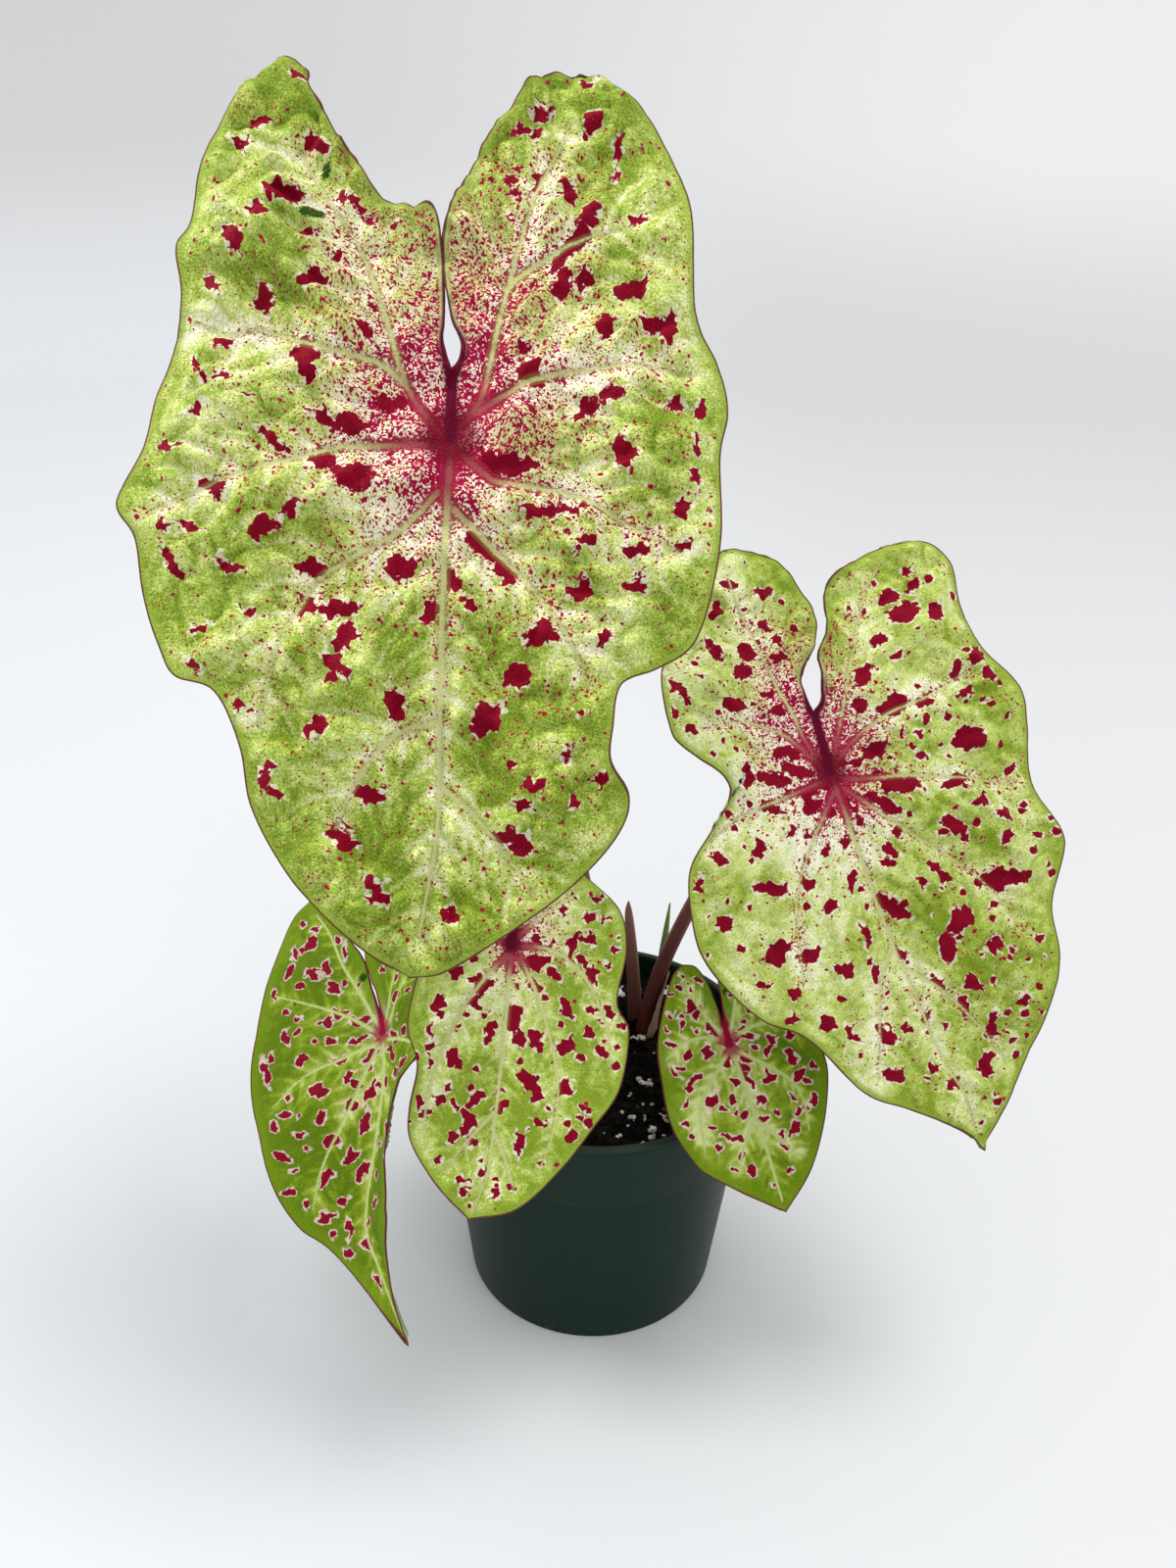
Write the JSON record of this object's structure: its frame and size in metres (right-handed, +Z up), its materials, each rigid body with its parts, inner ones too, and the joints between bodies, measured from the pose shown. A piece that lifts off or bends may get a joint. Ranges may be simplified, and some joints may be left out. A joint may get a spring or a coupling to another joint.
{
  "type": "potted caladium plant",
  "caption": "Heart-leaved foliage plant with spotted, wavy blades on arching stalks, growing from a tuber in a soil-filled round nursery pot.",
  "frame": {"origin": "Centre of the pot's flat underside, on the surface that it stands on.", "axes": "+Z up, +X to the right and -Y toward the front, the side that the leaves face."},
  "size_m": [0.2568, 0.1507, 0.3789],
  "materials": {
    "pot": "smooth satin moulded plastic, dark green",
    "soil": "damp black peat with white grains",
    "tuber": "rough brown skin",
    "leaf_pale": "satin, puckered, cream and light green with crimson blotches and fine pink speckles",
    "leaf_green": "satin, smoother, mid green with pale veins and crimson blotches",
    "stalk": "satin, brown-purple at the foot, paler above",
    "shoot_brown": "satin, brown pink",
    "shoot_green": "satin, fresh green",
    "sheath": "thin, dry, beige pink"
  },
  "bodies": {
    "root": {"pot": "pot", "soil": "soil", "tuber": "tuber", "blade_a": "leaf_pale", "blade_b": "leaf_pale", "blade_c": "leaf_green", "blade_d": "leaf_pale", "blade_e": "leaf_green", "petiole_a": "stalk", "petiole_b": "stalk", "petiole_c": "stalk", "petiole_d": "stalk", "petiole_e": "stalk", "shoot_brown": "shoot_brown", "shoot_green": "shoot_green", "sheath": "sheath"}
  },
  "joints": []
}
